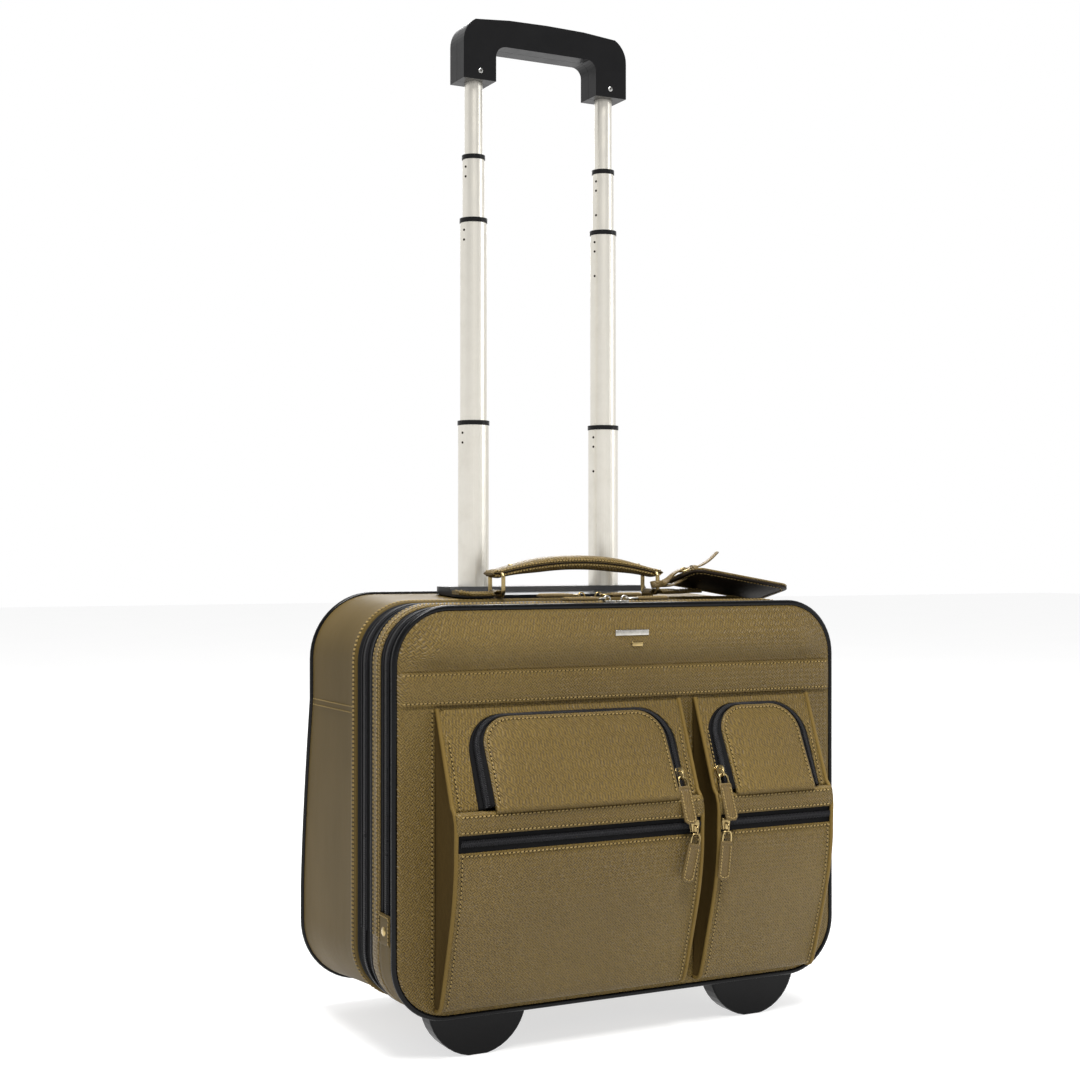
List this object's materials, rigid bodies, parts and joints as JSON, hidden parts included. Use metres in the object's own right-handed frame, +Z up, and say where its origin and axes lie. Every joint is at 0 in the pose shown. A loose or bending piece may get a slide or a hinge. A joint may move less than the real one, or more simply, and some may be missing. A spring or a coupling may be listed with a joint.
{
  "type": "rolling laptop case",
  "caption": "Wheeled laptop case in padded leather with a hinged laptop section, bellows pockets, zips with pulls, a carry handle and a telescoping trolley handle.",
  "frame": {"origin": "on the floor, under the middle of the whole object's box", "axes": "+Z up along the trolley tubes; the pocket front faces -Y; +X is to the right seen from the front"},
  "size_m": [0.433, 0.2693, 0.9115],
  "materials": {
    "leather": "cross-grain embossed, semi-matt",
    "zip_tape": "woven tape, matt",
    "black_plastic": "fine satin moulding",
    "tube_aluminium": "satin anodised, champagne",
    "axle_steel": "turned",
    "brass": "polished light gold",
    "nickel": "polished",
    "wheel_rubber": "matt"
  },
  "bodies": {
    "case": {"rear_shell": "leather", "main_zip_rear": "zip_tape", "trolley_bezel": "black_plastic", "outer_tube_left": "tube_aluminium", "outer_tube_right": "tube_aluminium", "wheel_base": "black_plastic", "axle_left": "axle_steel", "axle_right": "axle_steel", "handle_tab_left": "leather", "handle_tab_right": "leather"},
    "wheel_left": {"wheel_left": "wheel_rubber"},
    "wheel_right": {"wheel_right": "wheel_rubber"},
    "handle_loop_left": {"handle_loop_left": "brass"},
    "handle_loop_right": {"handle_loop_right": "brass"},
    "carry_handle": {"carry_handle": "leather"},
    "stage_a": {"stage_a_tube_left": "tube_aluminium", "stage_a_tube_right": "tube_aluminium", "stage_a_collar_left": "black_plastic", "stage_a_collar_right": "black_plastic"},
    "stage_b": {"stage_b_tube_left": "tube_aluminium", "stage_b_tube_right": "tube_aluminium", "stage_b_collar_left": "black_plastic", "stage_b_collar_right": "black_plastic"},
    "stage_c": {"stage_c_tube_left": "tube_aluminium", "stage_c_tube_right": "tube_aluminium", "stage_c_collar_left": "black_plastic", "stage_c_collar_right": "black_plastic"},
    "stage_d": {"stage_d_tube_left": "tube_aluminium", "stage_d_tube_right": "tube_aluminium", "grip_front": "black_plastic", "grip_rear": "black_plastic"},
    "grip_button": {"grip_button": "black_plastic"},
    "laptop_section": {"laptop_frame": "leather", "main_zip_front": "zip_tape", "front_zip_rear": "zip_tape", "foot_left": "black_plastic", "foot_right": "black_plastic"},
    "front_panel": {"front_panel": "leather", "front_zip_front": "zip_tape", "left_pocket": "leather", "right_pocket": "leather"},
    "left_pocket_flap": {"left_pocket_flap": "leather"},
    "right_pocket_flap": {"right_pocket_flap": "leather"},
    "luggage_tag": {"luggage_tag": "leather"},
    "main_zip_left_slider": {"main_zip_left_slider": "brass"},
    "main_zip_left_pull": {"main_zip_left_pull": "leather"},
    "main_zip_right_slider": {"main_zip_right_slider": "brass"},
    "main_zip_right_pull": {"main_zip_right_pull": "leather"},
    "front_zip_left_slider": {"front_zip_left_slider": "nickel"},
    "front_zip_left_pull": {"front_zip_left_pull": "leather"},
    "front_zip_right_slider": {"front_zip_right_slider": "nickel"},
    "front_zip_right_pull": {"front_zip_right_pull": "leather"},
    "left_flap_zip_slider": {"left_flap_zip_slider": "brass"},
    "left_flap_zip_pull": {"left_flap_zip_pull": "leather"},
    "right_flap_zip_slider": {"right_flap_zip_slider": "brass"},
    "right_flap_zip_pull": {"right_flap_zip_pull": "leather"},
    "left_pocket_zip_slider": {"left_pocket_zip_slider": "brass"},
    "left_pocket_zip_pull": {"left_pocket_zip_pull": "leather"},
    "right_pocket_zip_slider": {"right_pocket_zip_slider": "brass"},
    "right_pocket_zip_pull": {"right_pocket_zip_pull": "leather"}
  },
  "joints": [
    {"name": "wheel_left_spin", "type": "hinge", "parent": "case", "child": "wheel_left", "pos_m": [-0.112, 0.10865, 0.026], "axis": [1, 0, 0], "continuous": true},
    {"name": "wheel_right_spin", "type": "hinge", "parent": "case", "child": "wheel_right", "pos_m": [0.112, 0.10865, 0.026], "axis": [1, 0, 0], "continuous": true},
    {"name": "section_opening", "type": "hinge", "parent": "case", "child": "laptop_section", "pos_m": [0, -0.01665, 0.0365], "axis": [1, 0, 0], "range_deg": [0, 90]},
    {"name": "front_panel_opening", "type": "hinge", "parent": "laptop_section", "child": "front_panel", "pos_m": [0, -0.07675, 0.0365], "axis": [1, 0, 0], "range_deg": [0, 35]},
    {"name": "left_flap_opening", "type": "hinge", "parent": "front_panel", "child": "left_pocket_flap", "pos_m": [0, -0.11835, 0.2085], "axis": [1, 0, 0], "range_deg": [0, 75]},
    {"name": "right_flap_opening", "type": "hinge", "parent": "front_panel", "child": "right_pocket_flap", "pos_m": [0, -0.11835, 0.2085], "axis": [1, 0, 0], "range_deg": [0, 75]},
    {"name": "handle_swing", "type": "hinge", "parent": "case", "child": "handle_loop_left", "pos_m": [-0.079, 0.01115, 0.3775], "axis": [0, 1, 0], "range_deg": [-25, 25]},
    {"name": "handle_level", "type": "hinge", "parent": "handle_loop_left", "child": "carry_handle", "pos_m": [-0.079, 0.01115, 0.3955], "axis": [0, 1, 0], "range_deg": [-25, 25]},
    {"name": "handle_follow", "type": "hinge", "parent": "case", "child": "handle_loop_right", "pos_m": [0.079, 0.01115, 0.3775], "axis": [0, 1, 0], "range_deg": [-25, 25]},
    {"name": "stage_a_slide", "type": "slide", "parent": "case", "child": "stage_a", "axis": [0, 0, 1], "range_m": [-0.1482, 0]},
    {"name": "stage_b_slide", "type": "slide", "parent": "stage_a", "child": "stage_b", "axis": [0, 0, 1], "range_m": [-0.1826, 0]},
    {"name": "stage_c_slide", "type": "slide", "parent": "stage_b", "child": "stage_c", "axis": [0, 0, 1], "range_m": [-0.054, 0]},
    {"name": "stage_d_slide", "type": "slide", "parent": "stage_c", "child": "stage_d", "axis": [0, 0, 1], "range_m": [-0.067, 0]},
    {"name": "button_press", "type": "slide", "parent": "stage_d", "child": "grip_button", "axis": [0, 0, 1], "range_m": [-0.0025, 0], "stiffness_N_per_m": 400, "springref_m": 0.002},
    {"name": "main_zip_left_run", "type": "slide", "parent": "case", "child": "main_zip_left_slider", "axis": [1, 0, 0], "range_m": [-0.13, 0]},
    {"name": "main_zip_left_lift", "type": "hinge", "parent": "main_zip_left_slider", "child": "main_zip_left_pull", "pos_m": [-0.012, -0.01665, 0.3767], "axis": [0, 1, 0], "range_deg": [0, 150]},
    {"name": "main_zip_right_run", "type": "slide", "parent": "case", "child": "main_zip_right_slider", "axis": [1, 0, 0], "range_m": [0, 0.085]},
    {"name": "main_zip_right_lift", "type": "hinge", "parent": "main_zip_right_slider", "child": "main_zip_right_pull", "pos_m": [0.012, -0.01665, 0.3767], "axis": [0, -1, 0], "range_deg": [0, 150]},
    {"name": "front_zip_left_run", "type": "slide", "parent": "laptop_section", "child": "front_zip_left_slider", "axis": [1, 0, 0], "range_m": [-0.13, 0]},
    {"name": "front_zip_left_lift", "type": "hinge", "parent": "front_zip_left_slider", "child": "front_zip_left_pull", "pos_m": [-0.012, -0.06305, 0.3747], "axis": [0, 1, 0], "range_deg": [0, 150]},
    {"name": "front_zip_right_run", "type": "slide", "parent": "laptop_section", "child": "front_zip_right_slider", "axis": [1, 0, 0], "range_m": [0, 0.085]},
    {"name": "front_zip_right_lift", "type": "hinge", "parent": "front_zip_right_slider", "child": "front_zip_right_pull", "pos_m": [0.012, -0.06305, 0.3747], "axis": [0, -1, 0], "range_deg": [0, 150]},
    {"name": "left_flap_zip_run", "type": "slide", "parent": "front_panel", "child": "left_flap_zip_slider", "axis": [0, 0.3734, 0.9277], "range_m": [0, 0.03]},
    {"name": "left_flap_zip_lift", "type": "hinge", "parent": "left_flap_zip_slider", "child": "left_flap_zip_pull", "pos_m": [0.033, -0.11869, 0.22373], "axis": [-1, 0, 0], "range_deg": [0, 100]},
    {"name": "right_flap_zip_run", "type": "slide", "parent": "front_panel", "child": "right_flap_zip_slider", "axis": [0, 0.3734, 0.9277], "range_m": [0, 0.03]},
    {"name": "right_flap_zip_lift", "type": "hinge", "parent": "right_flap_zip_slider", "child": "right_flap_zip_pull", "pos_m": [0.074, -0.11869, 0.22373], "axis": [-1, 0, 0], "range_deg": [0, 100]},
    {"name": "left_pocket_zip_run", "type": "slide", "parent": "front_panel", "child": "left_pocket_zip_slider", "axis": [1, 0, 0], "range_m": [-0.2, 0]},
    {"name": "left_pocket_zip_lift", "type": "hinge", "parent": "left_pocket_zip_slider", "child": "left_pocket_zip_pull", "pos_m": [0.04, -0.13035, 0.1765], "axis": [-1, 0, 0], "range_deg": [0, 75]},
    {"name": "right_pocket_zip_run", "type": "slide", "parent": "front_panel", "child": "right_pocket_zip_slider", "axis": [1, 0, 0], "range_m": [0, 0.095]},
    {"name": "right_pocket_zip_lift", "type": "hinge", "parent": "right_pocket_zip_slider", "child": "right_pocket_zip_pull", "pos_m": [0.071, -0.13035, 0.1765], "axis": [-1, 0, 0], "range_deg": [0, 75]},
    {"name": "tag_lift", "type": "hinge", "parent": "case", "child": "luggage_tag", "pos_m": [0.079, -0.00235, 0.3855], "axis": [0, -1, 0], "range_deg": [0, 25]}
  ],
  "couplings": [
    {"joint": "handle_level", "follows": "handle_swing", "ratio": -1},
    {"joint": "handle_follow", "follows": "handle_swing", "ratio": 1}
  ]
}
